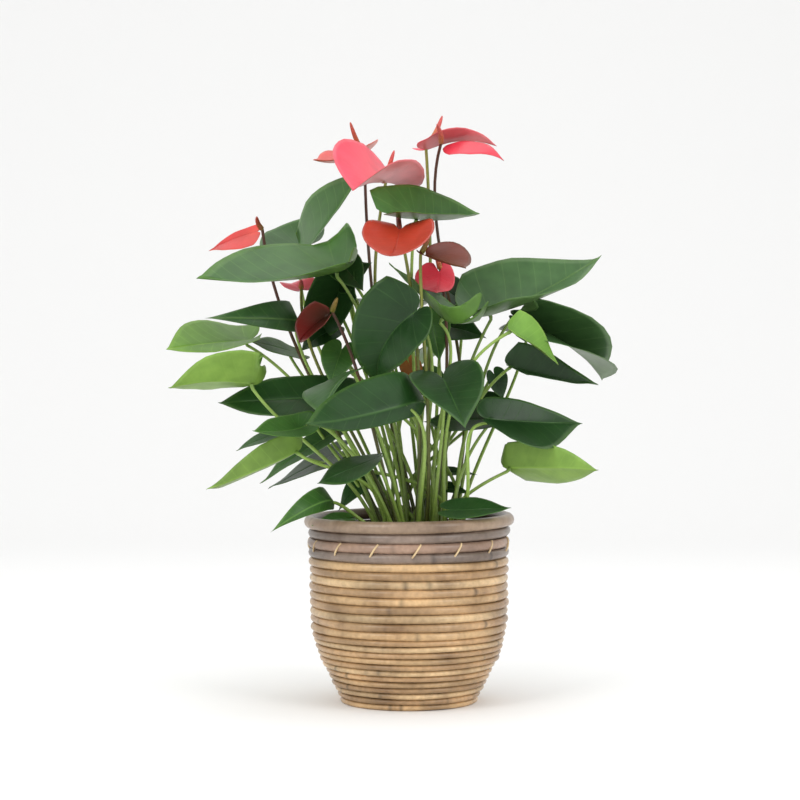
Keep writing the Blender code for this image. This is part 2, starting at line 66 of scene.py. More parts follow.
MIX_RADIUS = 0.0930
MIX_FOOT_RADIUS, MIX_FOOT = 0.0605, 0.0145
LUMP_REACH = 0.089

# The stage: where the floor starts to curve up, the radius of that curve, and its extent
BACKDROP_START, BACKDROP_BEND, STAGE_REACH = 2.2, 1.5, 7.0
CAMERA_PLACE = (-0.0097, -2.043, 0.325)
LENS_MM, SENSOR_MM = 85, 36
LIT_POINT = (0, 0, 0.32)
# Each light's name, place, width and height, and power in watts
LIGHTS = (
    ("left_softbox", (-1.3, -1.5, 1.7), (0.9, 1.3), 16),
    ("right_softbox", (1.4, -1.3, 1.3), (0.8, 1.3), 12),
    ("top_softbox", (0.1, 0.2, 2.3), (1.8, 1.8), 12),
)

# Radius and height, from the middle of the underside outwards
BASE_PROFILE = [(0.001, 0.001), (0.064, 0.001), (0.064, 0.008), (0.001, 0.008)]
POT_PROFILE = [
    (0.001, 0.0085), (0.060, 0.0085), (0.0948, 0.187), (0.0962, 0.187), (0.0962, 0.1895),
    (0.0925, 0.1895), (0.0915, 0.170), (0.058, 0.0105), (0.001, 0.0105),
]

# Outer radius of the basket at each height, foot to rim
BASKET_PROFILE = [
    (0.073, 0.0),
    (0.0757, 0.009),
    (0.0827, 0.022),
    (0.0887, 0.035),
    (0.0963, 0.048),
    (0.1006, 0.061),
    (0.1038, 0.074),
    (0.1055, 0.087),
    (0.1070, 0.104),
    (0.1065, 0.130),
    (0.1076, 0.156),
    (0.1087, 0.182),
    (0.1125, 0.190),
    (0.1125, 0.1995),
]

# Right half of a blade's outline from tip to notch: share of the midrib, share of the half width
HEART = [
    (1.0, 0.0), (0.93, 0.05), (0.8, 0.25), (0.62, 0.55), (0.42, 0.82), (0.2, 0.98),
    (-0.02, 0.98), (-0.2, 0.82), (-0.32, 0.55), (-0.34, 0.3), (-0.25, 0.1), (-0.08, 0.0),
]
SPATHE = [
    (1.0, 0.0), (0.93, 0.06), (0.8, 0.27), (0.62, 0.6), (0.42, 0.86), (0.2, 1.0),
    (-0.02, 0.98), (-0.18, 0.8), (-0.27, 0.5), (-0.24, 0.22), (-0.14, 0.13), (-0.03, 0.0),
]

# A blade, in millimetres and degrees: junction and tip of the midrib, the way its upper side
# faces (bearing from -Y towards +X, elevation), left and right half width and basal lobes as
# shares of the length, bend of the midrib and lift of the lobes, fold of the left and right
# half, cupping, how far the widest place moves towards the tip, and twist. root is where the
# stalk leaves the soil, and rise and reach are the two handles of its curve. The rows weren't
# chosen by hand: separate fitting and routing programs worked them out, and they are rounded.
BLADE_FIELDS = "face width lobes bend fold cup peak twist root rise reach shade"
Leaf = namedtuple("Leaf", "name junction tip " + BLADE_FIELDS)
Flower = namedtuple("Flower", "name junction tip spadix " + BLADE_FIELDS)

# The last field is the colour class: mid and dry are plain tints, while deep holds painted shade, grey a
# painted sheen and lime painted light shining through the blade
LEAVES = [
    Leaf("leaf_01", (-118, 66, 489), (-51, 47, 583), (-93, 29), (0.7, 0.12), 0.4,
         (-11, 120), (18, -1), 0.17, 0.15, -31, (-4, 19), (-24, 37, 300), (-57, 56, 404), "mid"),
    Leaf("leaf_02", (-126, 157, 504), (-168, 83, 497), (-11, 43), (0.37, 0.47), 1.31,
         (-40, 34), (25, 11), 0.56, 0.02, -1, (-10, 30), (-49, 57, 311), (-132, 139, 390), "grey"),
    Leaf("leaf_03", (-77, -20, 462), (-221, -82, 452), (1, 63), (0.43, 0.54), 0.95,
         (-19, 102), (30, -3), 0.22, 0.45, 16, (-1, -3), (-4, 0, 284), (-37, 7, 410), "mid"),
    Leaf("leaf_04", (-123, 20, 412), (-218, -34, 412), (2, 1), (0.12, 0.21), 1.09,
         (89, -42), (0, -23), 0.19, 0.01, -4, (-16, -1), (-41, -2, 274), (-124, 68, 347), "grey"),
    Leaf("leaf_05", (-177, 15, 390), (-260, -25, 379), (-5, 59), (0.42, 0.6), 0.65,
         (7, 81), (25, -7), 0.02, 0.41, 29, (-31, 3), (-45, -1, 252), (-117, 27, 353), "lime"),
    Leaf("leaf_06", (-167, -40, 342), (-251, -76, 337), (175, 80), (0.47, 0.44), 1.03,
         (27, 105), (36, 2), 0.12, 0.22, -20, (-30, -9), (-57, -16, 256), (-125, -30, 279), "lime"),
    Leaf("leaf_07", (-85, -5, 329), (-206, -8, 322), (0, 53), (0.28, 0.27), 1,
         (0, 10), (7, 5), 0.34, 0.45, 24, (-19, -12), (-35, -17, 237), (-71, 11, 280), "deep"),
    Leaf("leaf_08", (-116, -82, 295), (-160, -122, 294), (7, 58), (0.38, 0.4), 1.33,
         (-17, 35), (8, 5), 0.4, 0.11, 5, (-14, -22), (-23, -32, 226), (-97, -33, 336), "mid"),
    Leaf("leaf_09", (-118, -75, 271), (-205, -143, 235), (-178, 40), (0.21, 0.39), 0.87,
         (-8, 92), (27, 29), 0.91, 0.2, -4, (-27, -20), (-16, -12, 252), (-86, -53, 246), "lime"),
    Leaf("leaf_10", (-88, 60, 262), (-157, 63, 226), (0, 70), (0.4, 0.4), 0.95,
         (3, 1), (0, 0), 0.28, 0.02, -10, (-21, 29), (-32, 37, 216), (-66, 62, 231), "deep"),
    Leaf("leaf_11", (-60, -75, 354), (-89, -128, 304), (-42, 28), (0.12, 0.75), 0.62,
         (52, 15), (5, -5), -0.07, -0.03, 0, (-3, -25), (-14, -38, 247), (-35, -53, 302), "grey"),
    Leaf("leaf_12", (-2, -95, 321), (-104, -189, 301), (17, 18), (0.12, 0.29), 1.39,
         (-31, -70), (-40, -12), 0.08, 0.3, -12, (10, -37), (9, -80, 246), (32, -85, 302), "deep"),
    Leaf("leaf_13", (37, -75, 344), (56, -152, 296), (-2, 45), (0.44, 0.43), 0.89,
         (10, 0), (18, 16), 0.25, 0.1, 10, (25, -28), (28, -41, 240), (37, -52, 293), "deep"),
    Leaf("leaf_14", (3, -60, 415), (-31, -9, 338), (-33, 38), (0.45, 0.5), 0.62,
         (74, 31), (-1, 53), -0.23, 0.04, 17, (10, -24), (5, -40, 268), (46, -33, 359), "deep"),
    Leaf("leaf_15", (36, -55, 411), (-22, 7, 474), (149, 69), (0.25, 0.41), 1.74,
         (1, 69), (16, 20), 0.45, 0.04, -1, (29, -17), (9, -31, 286), (68, -34, 377), "mid"),
    Leaf("leaf_16", (88, 10, 418), (213, 42, 485), (-15, 70), (0.46, 0.55), 0.69,
         (-16, 44), (21, 14), 0.84, -0.03, -17, (37, 2), (23, 16, 255), (65, 31, 370), "grey"),
    Leaf("leaf_17", (118, 20, 415), (219, 96, 347), (-6, 21), (0.43, 0.61), 0.4,
         (67, 120), (80, 50), 0.42, 0.16, 38, (47, 8), (67, 14, 270), (72, 55, 362), "grey"),
    Leaf("leaf_18", (106, -78, 397), (157, -56, 362), (19, 49), (0.41, 0.44), 0.4,
         (12, 60), (31, 27), 0.3, 0.11, 4, (39, -22), (34, -36, 273), (32, -49, 356), "lime"),
    Leaf("leaf_19", (109, -20, 361), (207, 15, 342), (1, 35), (0.27, 0.41), 0.4,
         (-19, 87), (39, 42), 0.29, 0.23, 7, (47, -4), (54, 9, 271), (60, 24, 321), "deep"),
    Leaf("leaf_20", (84, -60, 305), (186, -24, 300), (11, 49), (0.24, 0.58), 0.4,
         (-5, 55), (21, 18), 0.27, 0.11, -30, (49, -28), (80, -59, 235), (40, -78, 300), "deep"),
    Leaf("leaf_21", (83, -29, 304), (16, 14, 301), (-4, 56), (0.47, 0.39), 1,
         (7, 10), (8, 8), 0.41, 0.13, 7, (49, -15), (42, -43, 223), (59, -13, 267), "deep"),
    Leaf("leaf_22", (107, -39, 253), (194, -107, 253), (173, 37), (0.33, 0.25), 1.13,
         (11, 113), (20, 35), 0.39, 0.29, 17, (60, -18), (22, 4, 199), (63, -50, 231), "lime"),
    Leaf("leaf_23", (-82, -65, 220), (-142, -119, 190), (19, 26), (0.12, 0.2), 0.85,
         (86, -20), (-40, 0), 0.16, 0.14, -1, (-19, -33), (-56, -31, 198), (-73, -30, 219), "mid"),
    Leaf("leaf_24", (-35, -75, 264), (-96, -78, 238), (0, 80), (0.52, 0.51), 0.4,
         (3, 33), (5, -3), -0.1, 0.24, 38, (-6, -36), (-12, -45, 212), (-23, -65, 234), "deep"),
    Leaf("leaf_25", (50, -72, 210), (106, -82, 213), (0, 64), (0.39, 0.41), 1,
         (1, 10), (3, 3), 0.41, 0.03, -5, (36, -41), (38, -46, 193), (48, -62, 195), "deep"),
    Leaf("leaf_26", (-69, 40, 457), (-107, 97, 393), (10, 22), (0.4, 0.45), 1.03,
         (34, 60), (42, 42), 0.68, 0.16, 15, (2, 8), (-11, 15, 289), (-16, 91, 406), "deep"),
    Leaf("leaf_27", (-131, 70, 379), (-177, 41, 390), (1, 63), (0.42, 0.42), 1,
         (7, 10), (0, 0), 0.34, 0.16, 14, (-15, 19), (-39, 35, 265), (-109, 24, 334), "mid"),
    Leaf("leaf_28", (8, -5, 520), (79, 52, 532), (9, 55), (0.5, 0.42), 2.2,
         (-17, 1), (30, 35), -0.01, 0.37, 1, (15, -4), (12, -8, 306), (-4, 19, 417), "mid"),
    Leaf("leaf_29", (-12, 95, 431), (-54, 165, 397), (-165, 55), (0.4, 0.4), 1,
         (30, 10), (8, 8), 0.4, 0, 0, (13, 28), (9, 48, 274), (-5, 67, 353), "deep"),
    Leaf("leaf_30", (60, 85, 440), (119, 165, 461), (150, 60), (0.4, 0.4), 1,
         (30, 10), (8, 8), 0.4, 0, 0, (29, 22), (37, 39, 277), (62, 79, 355), "mid"),
    Leaf("leaf_31", (-67, 118, 439), (-122, 183, 437), (-155, 55), (0.4, 0.4), 1,
         (30, 10), (8, 8), 0.4, 0, 0, (2, 29), (-6, 50, 281), (-53, 89, 358), "deep"),
    Leaf("leaf_32", (-41, 90, 327), (-80, 170, 316), (-170, 50), (0.4, 0.4), 1,
         (30, 10), (8, 8), 0.4, 0, 0, (-3, 39), (-12, 56, 235), (-38, 75, 277), "mid"),
    Leaf("leaf_33", (47, 85, 327), (63, 170, 323), (172, 50), (0.4, 0.4), 1,
         (30, 10), (8, 8), 0.4, 0, 0, (30, 33), (35, 47, 234), (44, 74, 277), "deep"),
    Leaf("leaf_34", (-121, 60, 334), (-162, 140, 327), (-145, 60), (0.4, 0.4), 1,
         (30, 10), (8, 8), 0.4, 0, 0, (-27, 19), (-49, 20, 243), (-102, 35, 278), "mid"),
    Leaf("leaf_35", (133, 70, 403), (181, 140, 399), (150, 60), (0.4, 0.4), 1,
         (30, 10), (8, 8), 0.4, 0, 0, (49, 19), (70, 32, 266), (119, 58, 328), "deep"),
    Leaf("leaf_36", (11, 110, 382), (7, 190, 358), (-180, 45), (0.4, 0.4), 1,
         (30, 10), (8, 8), 0.4, 0, 0, (19, 37), (20, 59, 255), (11, 88, 317), "mid"),
]

# Small leaves inside the plant, mostly hidden by the others. They stand for no CAD node.
INNER_LEAVES = [
    Leaf("inner_leaf_01", (-72, 25, 473), (-49, 10, 443), (0, 15), (0.5, 0.5), 1,
         (20, 5), (8, 8), 0.4, 0, 0, (28, -30), (39, -58, 298), (-50, 60, 395), "deep"),
    Leaf("inner_leaf_02", (-70, 40, 457), (-40, 30, 476), (0, 30), (0.5, 0.5), 1,
         (20, 5), (8, 8), 0.4, 0, 0, (1, -1), (-13, -3, 289), (-56, 67, 382), "deep"),
    Leaf("inner_leaf_03", (35, 50, 408), (86, 40, 393), (10, 30), (0.45, 0.45), 1,
         (25, 5), (8, 8), 0.4, 0, 0, (36, 6), (49, 11, 267), (30, 69, 346), "deep"),
    Leaf("inner_leaf_04", (25, 30, 413), (34, 15, 366), (0, 20), (0.4, 0.4), 1,
         (20, 5), (8, 8), 0.4, 0, 0, (10, 5), (5, 9, 268), (22, 57, 352), "mid"),
    Leaf("inner_leaf_05", (-74, 10, 377), (-85, -5, 340), (-5, 30), (0.5, 0.5), 1,
         (20, 5), (8, 8), 0.4, 0, 0, (54, 11), (79, 19, 268), (-47, 38, 323), "mid"),
    Leaf("inner_leaf_06", (95, 40, 351), (104, 45, 325), (20, 30), (0.5, 0.5), 1,
         (20, 5), (8, 8), 0.4, 0, 0, (9, -12), (4, -19, 254), (70, 52, 303), "deep"),
    Leaf("inner_leaf_07", (81, 35, 314), (127, 30, 290), (10, 40), (0.5, 0.5), 1,
         (25, 5), (8, 8), 0.4, 0, 0, (-16, 14), (-33, 22, 242), (59, 48, 274), "deep"),
    Leaf("inner_leaf_08", (-155, 70, 284), (-193, 70, 268), (-10, 60), (0.3, 0.3), 1,
         (15, 5), (8, 8), 0.4, 0, 0, (44, -19), (64, -34, 270), (-111, 69, 232), "grey"),
    Leaf("inner_leaf_09", (-89, 40, 285), (-163, 25, 233), (-10, 60), (0.2, 0.2), 1,
         (15, 5), (8, 8), 0.4, 0, 0, (0, 14), (-7, 20, 232), (-71, 44, 250), "grey"),
    Leaf("inner_leaf_10", (-48, 30, 237), (-77, 10, 204), (-10, 45), (0.3, 0.3), 1,
         (25, 5), (8, 8), 0.4, 0, 0, (13, -8), (12, -11, 214), (-34, 31, 215), "deep"),
    Leaf("inner_leaf_11", (30, 35, 244), (75, 30, 243), (10, 60), (0.25, 0.25), 1,
         (20, 5), (8, 8), 0.4, 0, 0, (2, -5), (-1, -7, 209), (24, 33, 222), "deep"),
    Leaf("inner_leaf_12", (34, 20, 229), (67, 5, 223), (10, 50), (0.3, 0.3), 1,
         (20, 5), (8, 8), 0.4, 0, 0, (25, -6), (26, -8, 200), (31, 20, 213), "deep"),
    Leaf("inner_leaf_13", (-68, -30, 199), (-103, -50, 192), (-20, 60), (0.3, 0.3), 1,
         (20, 5), (8, 8), 0.4, 0, 0, (3, -30), (0, -38, 206), (-53, -25, 186), "mid"),
    Leaf("inner_leaf_14", (-15, 60, 436), (-52, 60, 403), (-5, 35), (0.55, 0.55), 1,
         (25, 5), (8, 8), 0.4, 0, 0, (22, 34), (27, 61, 278), (-6, 84, 367), "deep"),
    Leaf("inner_leaf_15", (41, 70, 448), (74, 70, 423), (5, 35), (0.5, 0.5), 1,
         (25, 5), (8, 8), 0.4, 0, 0, (23, -6), (29, -11, 285), (34, 87, 371), "deep"),
    Leaf("inner_leaf_16", (-88, 70, 403), (-121, 65, 379), (-10, 40), (0.5, 0.5), 1,
         (25, 5), (8, 8), 0.4, 0, 0, (15, -7), (14, -14, 277), (-63, 82, 336), "deep"),
    Leaf("inner_leaf_17", (63, 75, 331), (93, 70, 303), (10, 35), (0.5, 0.5), 1,
         (25, 5), (8, 8), 0.4, 0, 0, (-3, 0), (-14, -1, 247), (45, 81, 283), "deep"),
    Leaf("inner_leaf_18", (-64, 80, 325), (-97, 80, 297), (-10, 35), (0.5, 0.5), 1,
         (25, 5), (8, 8), 0.4, 0, 0, (23, 16), (26, 26, 247), (-42, 88, 280), "deep"),
    Leaf("inner_leaf_19", (-21, 85, 387), (-41, 80, 356), (0, 30), (0.55, 0.55), 1,
         (25, 5), (8, 8), 0.4, 0, 0, (24, -16), (28, -28, 268), (-11, 94, 322), "deep"),
    Leaf("inner_leaf_20", (18, 85, 348), (44, 80, 321), (0, 30), (0.55, 0.55), 1,
         (25, 5), (8, 8), 0.4, 0, 0, (35, 23), (44, 36, 247), (22, 95, 298), "mid"),
    Leaf("inner_leaf_21", (1, 20, 363), (12, 15, 334), (0, 20), (0.4, 0.4), 1,
         (25, 5), (8, 8), 0.4, 0, 0, (-12, 10), (-29, 16, 249), (-2, 43, 317), "dry"),
]

FLOWERS = [
    Flower("01", (-50, 111, 603), (-106, 48, 591), (-66, 93, 639), (-1, 89), (0.46, 0.44), 0.98,
           (-28, 6), (21, 11), 0.6, 0.03, 20, (8, 18), (-32, 55, 335), (-48, 76, 469), "coral"),
    Flower("02", (19, 40, 603), (98, 54, 607), (37, 45, 639), (0, 88), (0.37, 0.44), 1.04,
           (45, 41), (11, 21), 0.17, 0.13, 2, (19, 17), (23, 38, 333), (28, 47, 471), "pink"),
    Flower("03", (35, 20, 605), (103, 13, 585), (30, -15, 621), (0, 85), (0.4, 0.5), 0.4,
           (82, -61), (-6, -28), 0.27, 0.07, -15, (28, 10), (113, 4, 313), (2, 112, 497), "rose"),
    Flower("04", (-25, 34, 566), (-60, -55, 545), (-16, 23, 598), (-22, 45), (0.6, 0.75), 2.2,
           (19, -10), (19, 48), 0.25, 0.1, -18, (13, 7), (-27, 25, 345), (-54, 19, 423), "pink"),
    Flower("05", (-10, -45, 505), (-20, -138, 470), (-12, 25, 541), (-2, 45), (0.43, 0.41), 0.98,
           (-29, -28), (8, 2), 0.81, 0.15, 3, (6, -13), (19, -40, 304), (8, -32, 433), "brick"),
    Flower("06", (12, -62, 478), (58, -110, 460), (21, -67, 498), (20, 65), (0.68, 0.12), 0.78,
           (-8, 30), (11, 22), 0.23, 0.34, 18, (17, -16), (29, -55, 284), (9, -64, 427), "olive"),
    Flower("07", (34, 4, 466), (28, -53, 438), (29, -5, 486), (-15, 18), (0.31, 0.49), 1.15,
           (-35, 26), (-28, 9), 0.27, 0.08, -2, (26, -1), (37, 6, 287), (50, 35, 381), "rose"),
    Flower("08", (-82, -30, 419), (-120, 13, 387), (-76, -45, 433), (-17, 16), (0.39, 0.39), 0.62,
           (33, 54), (42, 46), 0.43, 0.16, 9, (-8, -13), (-35, -22, 272), (-52, 1, 367), "crimson"),
    Flower("09", (-163, 60, 515), (-225, 85, 493), (-167, 30, 526), (-10, 44), (0.49, 0.15), 0.4,
           (19, 54), (12, 15), -0.04, 0.04, -4, (-21, 9), (-80, 14, 304), (-150, 75, 402), "coral"),
    Flower("10", (-119, 50, 448), (-139, 103, 454), (-119, 45, 458), (12, 42), (0.38, 0.46), 1,
           (37, 10), (13, 11), 0.28, 0.03, 1, (-10, 9), (-46, 8, 287), (-123, 33, 363), "pink"),
]


# ---------------------------------------------------------------- shape tools

def unit(v):
    """The vector divided by its length."""
    v = np.asarray(v, float)
    return v / np.linalg.norm(v)


def smooth(low, high, x):
    """0 below low, 1 above high, an S curve between."""
    t = np.clip((np.asarray(x, float) - low) / (high - low), 0, 1)
    return t * t * (3 - 2 * t)


def smooth_curve(points, steps):
    """The Catmull-Rom curve through points, read at fractional point numbers."""
    p = np.asarray(points, float)
    p = np.vstack([2 * p[0] - p[1], p, 2 * p[-1] - p[-2]])
    t = np.clip(np.asarray(steps, float), 0, len(points) - 1 - 1e-9)
    i = t.astype(int)
    f = (t - i)[:, None]
    a, b, c, d = p[i], p[i + 1], p[i + 2], p[i + 3]
    bent = (2 * a - 5 * b + 4 * c - d) * f**2 + (3 * b - a - 3 * c + d) * f**3
    return 0.5 * (2 * b + (c - a) * f + bent)


class Blade:
    """A heart-shaped sheet: places on it are (u, v), shares of its length along and across."""

    def __init__(self, row, start, half, seed):
        end = np.array(row.tip, float) * MM
        bearing, height = radians(row.face[0]), radians(row.face[1])
        face = np.array([sin(bearing) * cos(height), -cos(bearing) * cos(height), sin(height)])
        self.start = start
        self.along = unit(end - start)
        self.up = unit(face - face.dot(self.along) * self.along)
        self.across = np.cross(self.along, self.up)
        self.length = np.linalg.norm(end - start)
        self.row = row
        self.half = half
        self.seed = seed
        self.set_midrib(row.bend[0], row.bend[1])

    def set_midrib(self, bend, lift):
        """The midrib is an arc from start to tip, and behind the start the lobes lift off it."""
        u = np.linspace(-0.6, 1.3, 400)
        ahead = bend * (0.5 - u)
        behind = bend * 0.5 - lift * np.clip(-u / 0.3, 0, 1.5)
        slope = np.radians(np.where(u > 0, ahead, behind))
        step = u[1] - u[0]
        x = np.concatenate([[0], np.cumsum(np.cos(slope[1:]) + np.cos(slope[:-1])) * step / 2])
        y = np.concatenate([[0], np.cumsum(np.sin(slope[1:]) + np.sin(slope[:-1])) * step / 2])
        x -= np.interp(0, u, x)
        y -= np.interp(0, u, y)
        tip_x, tip_y = np.interp(1, u, x), np.interp(1, u, y)
        scale = self.length / np.hypot(tip_x, tip_y)
        turn = np.arctan2(tip_y, tip_x)
        self.u = u
        self.mid_x = scale * (cos(turn) * x + sin(turn) * y)
        self.mid_y = scale * (cos(turn) * y - sin(turn) * x)
        self.slope = slope - turn

    def at(self, u, v, share):
        """Points for arrays of u and v. share (0 middle, 1 rim) sets how far the rim waves."""
        row = self.row
        x = np.interp(u, self.u, self.mid_x)[:, None]
        y = np.interp(u, self.u, self.mid_y)[:, None]
        slope = np.interp(u, self.u, self.slope)[:, None]
        up = np.cos(slope) * self.up - np.sin(slope) * self.along
        fold = np.radians(np.where(v > 0, row.fold[1], row.fold[0]))
        cup = row.cup if abs(row.cup) > 0.001 else 0.001
        reach = np.abs(v)
        out = (np.sin(fold + cup * reach) - np.sin(fold)) / cup * np.sign(v) * self.length
        rise = (np.cos(fold) - np.cos(fold + cup * reach)) / cup * self.length
        wave = np.sin(9 * u + 3 * np.sign(v) + self.seed) + 0.5 * np.sin(17 * u + 2.1 * self.seed)
        rise = rise + 0.007 * self.length * share**2 * wave
        crease = 0.006 * self.length * np.exp(-((v / 0.02) ** 2)) * smooth(0.0, 0.1, u + 0.02)
        rise = rise - crease * smooth(1.0, 0.6, u)
        puff = np.cos(2 * pi * vein_phase(u, v)) * smooth(0.03, 0.12, reach) * (1 - share**4)
        puff = puff * smooth(0.0, 0.12, u - 0.62 * reach)
        rise = rise - 0.0022 * self.length * puff
        turn = np.radians(row.twist) * u
        side = (out * np.cos(turn) - rise * np.sin(turn))[:, None]
        lift = (out * np.sin(turn) + rise * np.cos(turn))[:, None]
        return self.start + x * self.along + y * self.up + side * self.across + lift * up

    def rim(self, count):
        """The outline as (u, v), tip first, by the right side and the notch to the left side."""
        steps = np.linspace(0, len(self.half) - 1, count + 1)
        edge = smooth_curve(self.half, steps)
        edge[0, 1] = edge[-1, 1] = 0.0
        edge[0, 0], edge[-1, 0] = 1.0, self.half[-1][0]
        u = edge[:, 0]
        edge[:, 0] = np.where(u < 0, u * self.row.lobes, u + self.row.peak * u * (1 - u))
        left, right = self.row.width
        return np.vstack([edge * [1, right], (edge * [1, -left])[-2:0:-1]])


def vein_phase(u, v):
    """Whole at each side vein: they leave the midrib aslant and curve towards the tip, and
    round the junction they fan out into the lobes."""
    ahead = (u - 0.62 * np.abs(v) + 0.35 * v * v) * 7.5
    fan = np.arctan2(np.abs(v), -u + 1e-9) / pi * 7.0 + 4.0
    return np.where(u - 0.62 * np.abs(v) > 0, ahead, fan)


def curve_points(start, first, second, end, count):
    """A cubic Bezier curve from start to end with two handles, read at even steps."""
    t = np.linspace(0, 1, count)[:, None]
    bent = 3 * (1 - t) ** 2 * t * first + 3 * (1 - t) * t**2 * second
    return (1 - t) ** 3 * start + bent + t**3 * end


def tube(path, radii, sides):
    """Points of a round tube along a path, its section carried along without twisting."""
    forward = np.gradient(path, axis=0)
    forward /= np.linalg.norm(forward, axis=1)[:, None]
    axis = np.array([1.0, 0.13, 0.0])
    turn = 2 * pi * np.arange(sides) / sides
    rings = []
    for centre, direction, radius in zip(path, forward, radii):
        axis = unit(axis - axis.dot(direction) * direction)
        other = np.cross(direction, axis)
        round_it = np.outer(np.cos(turn), axis) + np.outer(np.sin(turn), other)
        rings.append(centre + radius * round_it)
    return np.concatenate(rings)


def grid_faces(rows, columns, start=0):
    """Quads of a grid that closes round its columns."""
    r, c = np.meshgrid(np.arange(rows - 1), np.arange(columns), indexing="ij")
    n = (c + 1) % columns
    low, high = r * columns, (r + 1) * columns
    quads = np.stack([low + c, low + n, high + n, high + c], -1)
    return (quads.reshape(-1, 4) + start).tolist()


class Surface:
    """Collects sheets and tubes into one mesh with a colour for each point and a blade map."""

    def __init__(self):
        self.points, self.faces, self.colour, self.place, self.part = [], [], [], [], []
        self.count = 0

    def add(self, points, faces, colour, place=None, part=0):
        """One more sheet or tube. part is the number of its material."""
        self.points.append(points)
        self.faces += [[i + self.count for i in face] for face in faces]
        self.colour.append(np.broadcast_to(colour, (len(points), 3)))
        self.place.append(np.zeros((len(points), 2)) + 5.0 if place is None else place)
        self.part += [part] * len(faces)
        self.count += len(points)

    def build(self, name, looks):
        """The object, with the point colours in "tint" and vein phase and v in "blade"."""
        mesh = bpy.data.meshes.new(name)
        mesh.from_pydata(np.concatenate(self.points).tolist(), [], self.faces)
        tint = mesh.color_attributes.new("tint", "FLOAT_COLOR", "POINT")
        rgba = np.concatenate([np.concatenate(self.colour), np.ones((self.count, 1))], 1)
        tint.data.foreach_set("color", rgba.ravel().astype(np.float32))
        loops = np.zeros(len(mesh.loops), np.int32)
        mesh.loops.foreach_get("vertex_index", loops)
        uv = mesh.uv_layers.new(name="blade")
        uv.data.foreach_set("uv", np.concatenate(self.place)[loops].ravel().astype(np.float32))
        for look in looks:
            mesh.materials.append(look)
        mesh.polygons.foreach_set("material_index", np.array(self.part, np.int32))
        mesh.validate()
        mesh.shade_smooth()
        piece = bpy.data.objects.new(name, mesh)
        bpy.context.collection.objects.link(piece)
        return piece


# ---------------------------------------------------------------- looks

class Nodes:
    """A short way to write a material's nodes."""

    def __init__(self, name):
        self.look = bpy.data.materials.new(name)
        self.look.use_nodes = True
        self.tree = self.look.node_tree
        self.shader = self.tree.nodes["Principled BSDF"]

    def add(self, kind, **values):
        node = self.tree.nodes.new(kind)
        for key, value in values.items():
            if hasattr(node, key):
                setattr(node, key, value)
            else:
                node.inputs[key.replace("_", " ")].default_value = value
        return node

    def link(self, a, b):
        self.tree.links.new(a, b)

    def math(self, what, a, b=None):
        node = self.add("ShaderNodeMath", operation=what)
        for slot, value in enumerate((a, b)):
            if value is None:
                continue
            if isinstance(value, (int, float)):
                node.inputs[slot].default_value = value
            else:
                self.link(value, node.inputs[slot])
        return node.outputs[0]

    def ramp(self, value, *stops):
        node = self.add("ShaderNodeValToRGB")
        while len(node.color_ramp.elements) < len(stops):
            node.color_ramp.elements.new(0.5)
        for element, (place, colour) in zip(node.color_ramp.elements, stops):
            element.position = place
            element.color = (*colour, 1)
        self.link(value, node.inputs[0])
        return node.outputs[0]

    def mix(self, how, factor, a, b):
        node = self.add("ShaderNodeMix", data_type="RGBA", blend_type=how)
        for slot, value in ((0, factor), (6, a), (7, b)):
            if isinstance(value, (int, float)):
                node.inputs[slot].default_value = value
            elif isinstance(value, tuple):
                node.inputs[slot].default_value = (*value, 1)
            else:
                self.link(value, node.inputs[slot])
        return node.outputs[2]

    def noise(self, scale, detail=3.0):
        place = self.add("ShaderNodeTexCoord").outputs["Object"]
        node = self.add("ShaderNodeTexNoise", Scale=scale, Detail=detail)
        self.link(place, node.inputs["Vector"])
        return node.outputs[0]

    def tint(self):
        return self.add("ShaderNodeVertexColor", layer_name="tint").outputs[0]

    def bump(self, height, strength, distance):
        node = self.add("ShaderNodeBump", Strength=strength, Distance=distance)
        self.link(height, node.inputs["Height"])
        self.link(node.outputs[0], self.shader.inputs["Normal"])

    def vein(self):
        """1 on the midrib and side veins of a blade, 0 away from them."""
        place = self.add("ShaderNodeUVMap", uv_map="blade").outputs[0]
        split = self.add("ShaderNodeSeparateXYZ")
        self.link(place, split.inputs[0])
        phase, v = split.outputs[0], split.outputs[1]
        near = self.math("ABSOLUTE", self.math("SUBTRACT", self.math("FRACT", phase), 0.5))
        side = self.math("POWER", self.math("MULTIPLY", near, 2.0), 22.0)
        middle = self.math("SUBTRACT", 1.0, self.math("MULTIPLY", self.math("ABSOLUTE", v), 70.0))
        middle = self.math("MAXIMUM", middle, 0.0)
        return self.math("MAXIMUM", self.math("MULTIPLY", side, 0.45), middle)

    def colour(self, source):
        self.link(source, self.shader.inputs["Base Color"])


def leaf_look(name, vein_colour, rough):
    """The leaf's tint from its points, slightly mottled, with paler veins pressed a little into it.
    For deep, grey and lime leaves that tint holds painted shade, painted sheen and painted light
    shining through the blade.
    """
    n = Nodes(name)
    vein = n.vein()
    mottle = n.ramp(n.noise(55.0), (0.3, (0.80, 0.82, 0.78)), (0.7, (1.12, 1.1, 1.06)))
    base = n.mix("MULTIPLY", 1.0, n.tint(), mottle)
    n.colour(n.mix("MIX", n.math("MULTIPLY", vein, 0.95), base, vein_colour))
    n.shader.inputs["Roughness"].default_value = rough
    n.shader.inputs["Specular IOR Level"].default_value = 0.3
    n.bump(n.math("MULTIPLY", vein, -1.0), 0.35, 0.0006)
    return n.look


